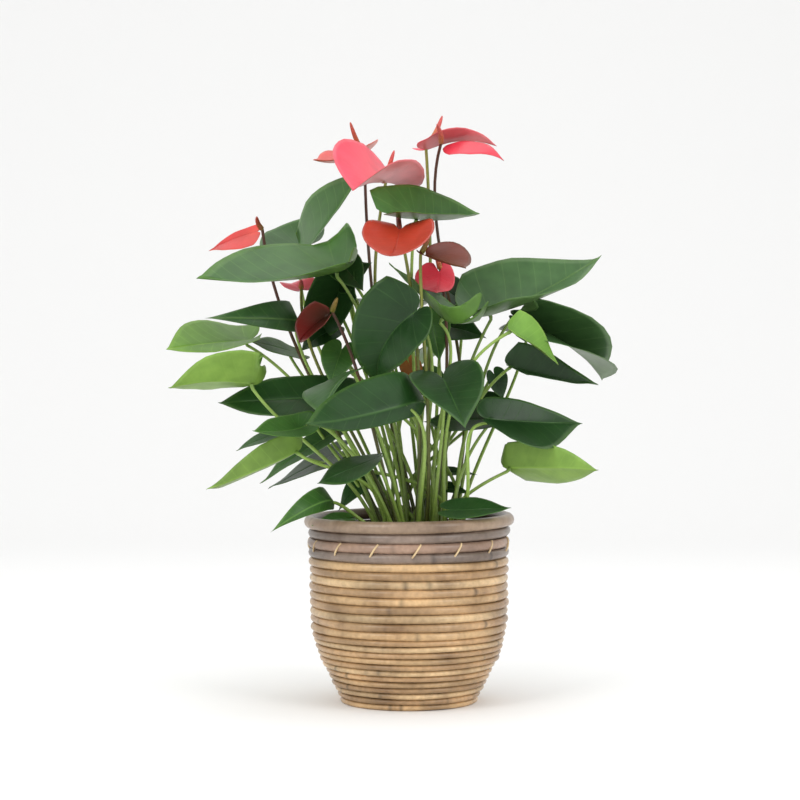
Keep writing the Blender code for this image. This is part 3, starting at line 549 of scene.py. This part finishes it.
def spathe_look():
    """The spathe's own tint under a thin waxy coat, with darker sunken veins."""
    n = Nodes("spathe")
    vein = n.vein()
    mottle = n.ramp(n.noise(45.0), (0.3, (0.86, 0.84, 0.84)), (0.7, (1.08, 1.06, 1.06)))
    base = n.mix("MULTIPLY", 1.0, n.tint(), mottle)
    n.colour(n.mix("MULTIPLY", n.math("MULTIPLY", vein, 0.5), base, (0.78, 0.62, 0.6)))
    n.shader.inputs["Roughness"].default_value = 0.36
    n.shader.inputs["Specular IOR Level"].default_value = 0.3
    n.shader.inputs["Coat Weight"].default_value = 0.1
    n.shader.inputs["Coat Roughness"].default_value = 0.2
    n.bump(n.math("MULTIPLY", vein, -1.0), 0.4, 0.0007)
    return n.look


def stalk_look():
    """The stalk's own tint with a fine mottle."""
    n = Nodes("stalk")
    mottle = n.ramp(n.noise(300.0), (0.3, (0.85, 0.85, 0.82)), (0.7, (1.1, 1.08, 1.05)))
    n.colour(n.mix("MULTIPLY", 1.0, n.tint(), mottle))
    n.shader.inputs["Roughness"].default_value = 0.4
    return n.look


def spadix_look():
    """The spadix's own tint, covered in small raised cells with darker borders."""
    n = Nodes("spadix")
    cells = n.add("ShaderNodeTexVoronoi", Scale=620.0)
    n.link(n.add("ShaderNodeTexCoord").outputs["Object"], cells.inputs["Vector"])
    spots = n.ramp(cells.outputs[0], (0.0, (1.15, 1.12, 1.1)), (0.8, (0.7, 0.66, 0.62)))
    n.colour(n.mix("MULTIPLY", 1.0, n.tint(), spots))
    n.shader.inputs["Roughness"].default_value = 0.5
    n.bump(n.math("MULTIPLY", cells.outputs[0], -1.0), 0.8, 0.0008)
    return n.look


def cane_look():
    """Varnished cane: its own tint with broad streaks, a fine grain and a thin coat."""
    n = Nodes("rattan")
    grain = n.noise(24.0, 4.0)
    dark, plain, light = (0.66, 0.60, 0.54), (1.0, 0.98, 0.95), (1.22, 1.2, 1.16)
    streak = n.ramp(grain, (0.32, dark), (0.52, plain), (0.72, light))
    fine = n.ramp(n.noise(190.0, 4.0), (0.3, (0.84, 0.82, 0.8)), (0.7, (1.1, 1.1, 1.08)))
    base = n.mix("MULTIPLY", 1.0, n.tint(), streak)
    n.colour(n.mix("MULTIPLY", 1.0, base, fine))
    n.shader.inputs["Roughness"].default_value = 0.36
    n.shader.inputs["Coat Weight"].default_value = 0.2
    n.shader.inputs["Coat Roughness"].default_value = 0.3
    n.bump(n.noise(260.0, 4.0), 0.18, 0.0006)
    return n.look


def plain_look(name, colour, rough, bump=0.0, scale=200.0):
    """One mottled colour, rough where bump is given."""
    n = Nodes(name)
    dark, light = (tuple(share * c for c in colour) for share in (0.6, 1.3))
    mottle = n.ramp(n.noise(scale), (0.3, dark), (0.7, light))
    n.colour(mottle)
    n.shader.inputs["Roughness"].default_value = rough
    if bump:
        n.bump(n.noise(scale), bump, 0.002)
    return n.look


# ---------------------------------------------------------------- the plant

# Upper side of a leaf: the darker and the lighter of the two tints that it blends. Only mid and
# dry are plain leaf tints; deep is darkened as painted shade, grey is greyed as a painted sheen,
# and lime is brightened as painted light shining through the blade
SHADES = {
    "deep": ((0.0085, 0.034, 0.0075), (0.019, 0.066, 0.014)),
    "mid": ((0.020, 0.072, 0.012), (0.046, 0.135, 0.022)),
    "grey": ((0.026, 0.074, 0.022), (0.052, 0.125, 0.038)),
    "lime": ((0.085, 0.205, 0.022), (0.150, 0.310, 0.038)),
    "dry": ((0.240, 0.075, 0.015), (0.360, 0.140, 0.030)),
}
# Rim and underside of a leaf; the deep, grey and lime rows hold the same painted shade, painted
# sheen and painted light through the blade
UNDER = {"deep": (0.075, 0.165, 0.035), "mid": (0.120, 0.255, 0.045), "grey": (0.105, 0.200, 0.065)}
UNDER.update({"lime": (0.220, 0.380, 0.070), "dry": (0.30, 0.14, 0.04)})
# Vein colour and roughness of a leaf; the deep, grey and lime rows make shaded, sheened and
# lit-through copies of one leaf look, which is painted light
VEINS = {
    "deep": ((0.045, 0.115, 0.026), 0.36),
    "mid": ((0.110, 0.240, 0.045), 0.38),
    "grey": ((0.110, 0.210, 0.060), 0.40),
    "lime": ((0.260, 0.430, 0.080), 0.42),
    "dry": ((0.40, 0.18, 0.05), 0.60),
}
# Spathe: the two tints that its upper side blends, and the underside
SPATHES = {
    "coral": ((0.70, 0.090, 0.060), (0.58, 0.050, 0.050), (0.76, 0.170, 0.105)),
    "pink": ((0.80, 0.090, 0.125), (0.76, 0.055, 0.105), (0.84, 0.200, 0.220)),
    "rose": ((0.66, 0.030, 0.055), (0.72, 0.060, 0.090), (0.78, 0.150, 0.160)),
    "brick": ((0.34, 0.030, 0.014), (0.42, 0.040, 0.018), (0.42, 0.075, 0.040)),
    "olive": ((0.085, 0.026, 0.008), (0.150, 0.022, 0.010), (0.150, 0.050, 0.018)),
    "crimson": ((0.028, 0.016, 0.005), (0.25, 0.012, 0.012), (0.46, 0.100, 0.070)),
}
# Spadix: near the stalk and towards the tip
SPADICES = {
    "coral": ((0.30, 0.170, 0.025), (0.50, 0.085, 0.050)),
    "pink": ((0.46, 0.260, 0.040), (0.66, 0.120, 0.110)),
    "rose": ((0.46, 0.200, 0.050), (0.60, 0.110, 0.100)),
    "brick": ((0.20, 0.030, 0.018), (0.14, 0.016, 0.016)),
    "olive": ((0.22, 0.190, 0.025), (0.30, 0.100, 0.035)),
    "crimson": ((0.20, 0.180, 0.022), (0.30, 0.200, 0.040)),
}
PETIOLE_LOW = (0.200, 0.300, 0.050)
PETIOLE_HIGH = (0.260, 0.400, 0.080)
NECK = (0.160, 0.280, 0.050)
FLOWER_STALK_LOW = (0.095, 0.110, 0.020)
FLOWER_STALK_HIGH = (0.230, 0.260, 0.045)
FLOWER_STALK_RED = (0.095, 0.036, 0.022)
RED_STALKED = ("coral", "crimson", "rose")


def blade_sheets(surface, blade, thickness, top, rim_tint, under, around=22, rings=11):
    """Upper and lower sheet of a blade and the narrow rim between them: rings of the outline
    shrunk towards the junction, each point moved half the thickness along the normal."""
    edge = blade.rim(around)
    count = len(edge)
    share = np.linspace(0, 1, rings + 1)[1:] ** 0.85
    flat = (share[:, None, None] * edge[None]).reshape(-1, 2)
    flat = np.vstack([[0.0, 0.0], flat])
    part = np.concatenate([[0.0], np.repeat(share, count)])
    u, v = flat.T
    small = 0.004
    tangent_u = blade.at(u + small, v, part) - blade.at(u - small, v, part)
    tangent_v = blade.at(u, v + small, part) - blade.at(u, v - small, part)
    normal = np.cross(tangent_v, tangent_u)
    normal /= np.linalg.norm(normal, axis=1)[:, None] + 1e-12
    if normal[: count + 1].mean(0).dot(blade.up) < 0:
        normal = -normal
    middle = blade.at(u, v, part)
    half = thickness * (0.5 - 0.28 * part[:, None] ** 6)
    phase = vein_phase(u, v)
    place = np.stack([phase, v], 1)
    low = np.array(top[0])
    high = np.array(top[1])
    blend = smooth(0.0, 1.0, 0.35 + 0.4 * np.sin(3 * u + blade.seed) * 0.5 + 0.35 * part)[:, None]
    colour = low + (high - low) * blend
    # Towards the outline the upper sheet takes rim_tint. On a leaf that is its paler underside green. It
    # stands both for the underside seen where the margin curls and for a painted highlight along the lit
    # margin. On a spathe it is a tint part way to its underside
    colour = colour + (np.array(rim_tint) - colour) * (smooth(0.95, 1.0, part) * 0.7)[:, None]
    fan = [[0, 1 + (k + 1) % count, 1 + k] for k in range(count)]
    faces = fan + grid_faces(rings, count, 1)
    n = len(middle)
    flip = [[i + n for i in face[::-1]] for face in faces]
    below = np.array(under) * (0.85 + 0.15 * np.cos(3 * u + blade.seed))[:, None]
    first = n - count
    rim = grid_faces(2, count)
    rim = [[first + a if a < count else n + first + a - count for a in face] for face in rim]
    points = np.vstack([middle + normal * half, middle - normal * half])
    both = np.vstack([colour, below])
    surface.add(points, faces + flip + rim, both, np.vstack([place, place]))


def stalk_foot(row):
    """Where a row's stalk starts, a little under the top of the mix."""
    return np.array([row.root[0] * MM, row.root[1] * MM, SOIL_TOP - FOOT_SINK])


def make_leaf(name, row, seed, looks):
    """One leaf: its blade, and the stalk with its swollen bend just under the blade."""
    start = np.array(row.junction, float) * MM
    blade = Blade(row, start, HEART, seed)
    surface = Surface()
    rng = np.random.default_rng(int(seed * 1000))
    vary = 1 + rng.uniform(-0.14, 0.14)
    low, high = (tuple(vary * c for c in shade) for shade in SHADES[row.shade])
    under = UNDER[row.shade]
    # The underside green also goes on the upper side's margin, partly as a painted highlight there
    blade_sheets(surface, blade, LEAF_THICKNESS, (low, high), under, under)
    neck = start - 0.006 * blade.up - 0.001 * blade.along
    stem = curve_points(stalk_foot(row), np.array(row.rise) * MM, np.array(row.reach) * MM, neck, 26)
    path = np.vstack([stem, start - 0.0028 * blade.up, start - 0.0006 * blade.up])
    t = np.linspace(0, 1, len(path))
    radii = 0.0021 - 0.0005 * t + 0.0005 * smooth(0.90, 0.97, t)
    radii = radii + 0.0018 * np.exp(-t * 26)
    foot_tint = np.array(PETIOLE_LOW)
    colour = foot_tint + (np.array(PETIOLE_HIGH) - foot_tint) * smooth(0, 0.5, t)[:, None]
    colour = colour + (np.array(NECK) - colour) * smooth(0.9, 0.96, t)[:, None]
    colour = colour * (1 + rng.uniform(-0.2, 0.25))
    sides = 10
    surface.add(tube(path, radii, sides), grid_faces(len(path), sides), np.repeat(colour, sides, 0), part=1)
    piece = surface.build(name, looks)
    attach(piece, "root")
    return piece


def make_flower(row, seed, bract, stalk, core):
    """A spathe with one look, and a stalk that ends in its spadix."""
    start = np.array(row.junction, float) * MM
    tip = np.array(row.tip, float) * MM
    offset = SPATHE_OFFSETS.get(row.name, SPATHE_OFFSET)
    blade = Blade(row, start + offset * unit(tip - start), SPATHE, seed)
    surface = Surface()
    base, far, under = SPATHES[row.shade]
    rim_tint = tuple(0.7 * a + 0.3 * b for a, b in zip(base, under))
    blade_sheets(surface, blade, SPATHE_THICKNESS, (base, far), rim_tint, under)
    spathe = surface.build("spathe_" + row.name, [bract])
    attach(spathe, "root")
    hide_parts("spathe_" + row.name)

    stem = curve_points(stalk_foot(row), np.array(row.rise) * MM, np.array(row.reach) * MM, start, 28)
    t = np.linspace(0, 1, len(stem))
    radii = 0.0020 - 0.0003 * t + 0.0016 * np.exp(-t * 26)
    low = np.array(FLOWER_STALK_LOW)
    high = np.array(FLOWER_STALK_RED if row.shade in RED_STALKED else FLOWER_STALK_HIGH)
    colour = low + (high - low) * smooth(0.15, 0.8, t)[:, None]
    surface = Surface()
    surface.add(tube(stem, radii, 10), grid_faces(len(stem), 10), np.repeat(colour, 10, 0))
    end = np.array(row.spadix, float) * MM
    length = np.linalg.norm(end - start)
    s = np.linspace(0, 1, 22)
    bend = np.sin(pi * s)[:, None] * 0.05 * length * blade.along
    path = start + s[:, None] * (end - start) + bend
    blunt = np.sqrt(np.clip(1 - (s * 0.985) ** 5, 0, 1))
    wide = SPADIX_RADIUS * smooth(-0.05, 0.12, s) * blunt * (1 - 0.25 * s)
    wide = np.maximum(wide, 0.0004)
    near, far = (np.array(c) for c in SPADICES[row.shade])
    tint = near + (far - near) * smooth(0.1, 0.8, s)[:, None]
    faces = grid_faces(len(s), 14) + [list(range(21 * 14, 22 * 14))]
    surface.add(tube(path, wide, 14), faces, np.repeat(tint, 14, 0), part=1)
    piece = surface.build("flower_stem_" + row.name, [stalk, core])
    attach(piece, "root")
    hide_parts("flower_stem_" + row.name)


# ---------------------------------------------------------------- basket, pot and mix

def rim_lift(angle, height):
    """The top coils stand up to 4.5 mm higher at the back right, as in a coil's last turn."""
    raised = 0.5 + 0.5 * np.cos(angle - radians(50))
    return RIM_RISE * raised * smooth(0.14, 0.2, height)


def cane_heights():
    """Centre height and half thickness of each coil, top one first. The lowest coils share
    the height that the others leave."""
    edges = [RIM_TOP, RIM_FOOT]
    edges += [RIM_FOOT - BROAD_COIL * (k + 1) for k in range(BROAD_COILS)]
    edges += [edges[-1] - NARROW_COIL * (k + 1) for k in range(NARROW_COILS)]
    left = edges[-1]
    edges += [left * (1 - (k + 1) / FOOT_COILS) for k in range(FOOT_COILS)]
    return [((a + b) / 2, (a - b) / 2) for a, b in zip(edges[:-1], edges[1:])]


# The four tans that the canes take in turn, and the browns of the top four, rim first
CANE_TANS = [(0.50, 0.335, 0.175), (0.40, 0.255, 0.130), (0.56, 0.400, 0.225), (0.44, 0.285, 0.150)]
CANE_BROWNS = [(0.300, 0.215, 0.150), (0.190, 0.145, 0.120), (0.290, 0.190, 0.140), (0.190, 0.145, 0.120)]


def make_basket(look):
    """Each coil is a round cane bent into a ring, with small bends, and four dark butt joints
    at random places."""
    radius_at = np.array([r for r, _ in BASKET_PROFILE])
    height_at = np.array([z for _, z in BASKET_PROFILE])
    rng = np.random.default_rng(11)
    surface = Surface()
    steps, sides = 160, 12
    turn = 2 * pi * np.arange(steps) / steps
    around = 2 * pi * np.arange(sides) / sides
    for number, (height, half) in enumerate(cane_heights()):
        tall = half * 1.05
        wide = 0.0052 if number else 0.0062
        centre = np.interp(height, height_at, radius_at) - wide * 0.9
        wobble = sum(rng.normal(0, 0.00022) * np.sin(k * turn + rng.uniform(0, 6)) for k in range(1, 7))
        sag = sum(rng.normal(0, 0.00012) * np.sin(k * turn + rng.uniform(0, 6)) for k in range(1, 5))
        swell = np.ones(steps)
        dark = np.zeros(steps)
        for place in rng.uniform(0, 2 * pi, 4):
            gap = np.abs((turn - place + pi) % (2 * pi) - pi)
            swell += 0.06 * np.exp(-((gap / 0.035) ** 2))
            dark += np.exp(-((gap / 0.016) ** 2))
        r = (centre + wobble)[:, None] + wide * swell[:, None] * np.cos(around)
        z = height + sag[:, None] + tall * swell[:, None] * np.sin(around) + rim_lift(turn, height)[:, None]
        z = np.maximum(z, 0.0)
        points = np.stack([r * np.cos(turn)[:, None], r * np.sin(turn)[:, None], z], -1).reshape(-1, 3)
        tint = np.array(CANE_TANS[number % 4]) * rng.uniform(0.86, 1.12)
        if number < len(CANE_BROWNS):
            tint = np.array(CANE_BROWNS[number])
        slow = 1 + 0.13 * np.sin(turn * 3 + rng.uniform(0, 6))
        slow = slow + 0.09 * np.sin(turn * 7 + rng.uniform(0, 6))
        colour = tint * slow[:, None] * (1 - 0.62 * np.clip(dark, 0, 1))[:, None]
        colour = np.repeat(colour, sides, 0)
        # Painted shade: the side of each cane that faces in towards the pot is darkened to about half
        inner = (np.tile(np.cos(around), steps) < -0.2)[:, None]
        colour = np.where(inner, colour * (0.55, 0.52, 0.5), colour)
        index = np.arange(steps * sides).reshape(steps, sides)
        nxt = np.roll(index, -1, 0)
        quads = np.stack([index, np.roll(index, -1, 1), np.roll(nxt, -1, 1), nxt], -1)
        surface.add(points, quads.reshape(-1, 4)[:, ::-1].tolist(), colour)
    add_lashings(surface, np.interp(0.172, height_at, radius_at))
    piece = surface.build("rattan_basket", [look])
    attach(piece, "root")
    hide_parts("rattan_basket")


def add_lashings(surface, radius):
    """Pale straws that cross the third coil under the rim aslant, at even steps round it."""
    for k in range(LASHINGS):
        start = 2 * pi * k / LASHINGS + 0.13
        t = np.linspace(0, 1, 14)
        angle = start + 0.085 * t
        height = 0.1625 + 0.0135 * t
        out = radius + 0.0006 - 0.0024 * np.abs(2 * t - 1) ** 3
        path = np.stack([out * np.cos(angle), out * np.sin(angle), height + rim_lift(angle, height)], 1)
        points = tube(path, np.full(14, 0.0011), 6)
        surface.add(points, grid_faces(14, 6), (0.62, 0.47, 0.27))


def turned(name, profile, look, segments=96):
    """A profile of (radius, height) turned round the Z axis."""
    turn = 2 * pi * np.arange(segments) / segments
    surface = Surface()
    rings = [np.stack([r * np.cos(turn), r * np.sin(turn), np.full(segments, z)], 1) for r, z in profile]
    surface.add(np.concatenate(rings), grid_faces(len(profile), segments), (0.5, 0.5, 0.5))
    piece = surface.build(name, [look])
    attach(piece, "root")
    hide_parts(name)


def make_mix(look, pale):
    """A lumpy round surface of mix with bark lumps on it and a few white grains."""
    segments, rings = 110, 46
    turn = 2 * pi * np.arange(segments) / segments
    share = np.linspace(0.001, 1, rings)
    r, a = np.meshgrid(share * MIX_RADIUS, turn, indexing="ij")
    x, y = r * np.cos(a), r * np.sin(a)
    z = SOIL_TOP + 0.0016 * np.sin(180 * x + 2) * np.cos(210 * y) + 0.0010 * np.sin(430 * x + 300 * y)
    z = z + 0.0007 * np.sin(900 * y - 700 * x) + 0.003 * smooth(0.7, 1.0, r / MIX_RADIUS)
    top = np.stack([x, y, z], -1).reshape(-1, 3)
    foot_x, foot_y = MIX_FOOT_RADIUS * np.cos(turn), MIX_FOOT_RADIUS * np.sin(turn)
    side = np.stack([foot_x, foot_y, np.full(segments, MIX_FOOT)], 1)
    surface = Surface()
    surface.add(np.vstack([top, side]), grid_faces(rings + 1, segments), (0.5, 0.5, 0.5))
    piece = surface.build("potting_mix", [look])
    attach(piece, "root")
    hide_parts("potting_mix")
    lumps("bark_lumps", 190, 0.0048, look, 3)
    lumps("white_grains", 34, 0.0016, pale, 4)


def lumps(name, count, size, finish, seed):
    """Many small rounded stones: a sphere of 8 by 6 points, stretched and dented at random."""
    rng = np.random.default_rng(seed)
    a, b = np.meshgrid(np.linspace(0.15, pi - 0.15, 6), 2 * pi * np.arange(8) / 8, indexing="ij")
    ball = np.stack([np.sin(a) * np.cos(b), np.sin(a) * np.sin(b), np.cos(a)], -1).reshape(-1, 3)
    faces = grid_faces(6, 8) + [list(range(8))[::-1], list(range(40, 48))]
    surface = Surface()
    for _ in range(count):
        radius = LUMP_REACH * np.sqrt(rng.uniform(0, 1))
        angle = rng.uniform(0, 2 * pi)
        stretch = size * rng.uniform(0.45, 1.0, 3)
        dent = 1 + rng.uniform(-0.16, 0.16, (48, 1))
        turn = rng.normal(0, 1, (3, 3))
        turn, _ = np.linalg.qr(turn)
        place = (radius * np.cos(angle), radius * np.sin(angle), SOIL_TOP + 0.0012 + 0.3 * size)
        surface.add((ball * dent * stretch) @ turn + place, faces, (0.5, 0.5, 0.5))
    piece = surface.build(name, [finish])
    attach(piece, "root")


def make_stage():
    """A wide pale floor that curves up into the backdrop."""
    flat = np.linspace(-4, BACKDROP_START, 20)
    arc = np.linspace(0, pi / 2, 20)[1:]
    back = BACKDROP_START + BACKDROP_BEND
    y = np.concatenate([flat, BACKDROP_START + BACKDROP_BEND * np.sin(arc), [back]])
    z = np.concatenate([np.zeros(20), BACKDROP_BEND - BACKDROP_BEND * np.cos(arc), [STAGE_REACH]])
    points = [(x, py, pz) for py, pz in zip(y, z) for x in (-STAGE_REACH, STAGE_REACH)]
    faces = [(2 * k, 2 * k + 1, 2 * k + 3, 2 * k + 2) for k in range(len(y) - 1)]
    mesh = bpy.data.meshes.new("floor")
    mesh.from_pydata(points, [], faces)
    mesh.shade_smooth()
    look = bpy.data.materials.new("floor")
    look.use_nodes = True
    paint = look.node_tree.nodes["Principled BSDF"]
    paint.inputs["Base Color"].default_value = (0.90, 0.90, 0.895, 1)
    paint.inputs["Roughness"].default_value = 0.9
    mesh.materials.append(look)
    floor = bpy.data.objects.new("floor", mesh)
    bpy.context.collection.objects.link(floor)


def add_light(name, place, size, power):
    """A rectangular light that faces the middle of the plant."""
    lamp = bpy.data.lights.new(name, "AREA")
    lamp.shape = "RECTANGLE"
    lamp.size, lamp.size_y = size
    lamp.energy = power
    made = bpy.data.objects.new(name, lamp)
    made.location = place
    made.rotation_euler = (Vector(LIT_POINT) - Vector(place)).to_track_quat("-Z", "Y").to_euler()
    bpy.context.collection.objects.link(made)


def make_light():
    """An even white sky, three soft lights, and the camera level and in front."""
    world = bpy.data.worlds.new("studio")
    world.use_nodes = True
    sky = world.node_tree.nodes["Background"]
    sky.inputs["Color"].default_value = (1.0, 1.0, 1.0, 1)
    sky.inputs["Strength"].default_value = 0.95
    bpy.context.scene.world = world
    for light in LIGHTS:
        add_light(*light)
    bpy.context.scene.view_settings.view_transform = "Standard"
    camera = bpy.data.cameras.new("camera")
    camera.lens = LENS_MM
    camera.sensor_width = SENSOR_MM
    eye = bpy.data.objects.new("camera", camera)
    eye.location = CAMERA_PLACE
    eye.rotation_euler = (pi / 2, 0, 0)
    bpy.context.collection.objects.link(eye)
    bpy.context.scene.camera = eye


def make_basket_and_pot():
    """The basket and its base, and in it the nursery pot with its mix."""
    cane = cane_look()
    make_basket(cane)
    turned("basket_base", BASE_PROFILE, cane)
    black = plain_look("nursery_plastic", (0.018, 0.018, 0.018), 0.45)
    turned("nursery_pot", POT_PROFILE, black)
    peat = plain_look("potting_mix", (0.050, 0.022, 0.012), 0.95, 0.5, 320.0)
    white = plain_look("white_grains", (0.70, 0.68, 0.62), 0.9)
    make_mix(peat, white)


def make_leaves(stalk):
    """The leaves that stand for CAD nodes, then the small inner ones, which stand for none."""
    # One copy of the leaf look per class; the deep, grey and lime copies carry painted shade, painted sheen
    # and painted light through the blade
    blades = {shade: leaf_look("leaf_" + shade, *vein) for shade, vein in VEINS.items()}
    for number, row in enumerate(LEAVES):
        piece = make_leaf(row.name, row, 1.0 + 0.77 * number, [blades[row.shade], stalk])
        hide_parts(row.name)
    for number, row in enumerate(INNER_LEAVES):
        piece = make_leaf(row.name, row, 31.0 + 0.77 * number, [blades[row.shade], stalk])


def make_flowers(stalk):
    """The spathes, each with its stalk and spadix."""
    bract, core = spathe_look(), spadix_look()
    for number, row in enumerate(FLOWERS):
        make_flower(row, 2.0 + 1.3 * number, bract, stalk, core)


make_basket_and_pot()
green_stalk = stalk_look()
make_leaves(green_stalk)
make_flowers(green_stalk)
make_stage()
make_light()
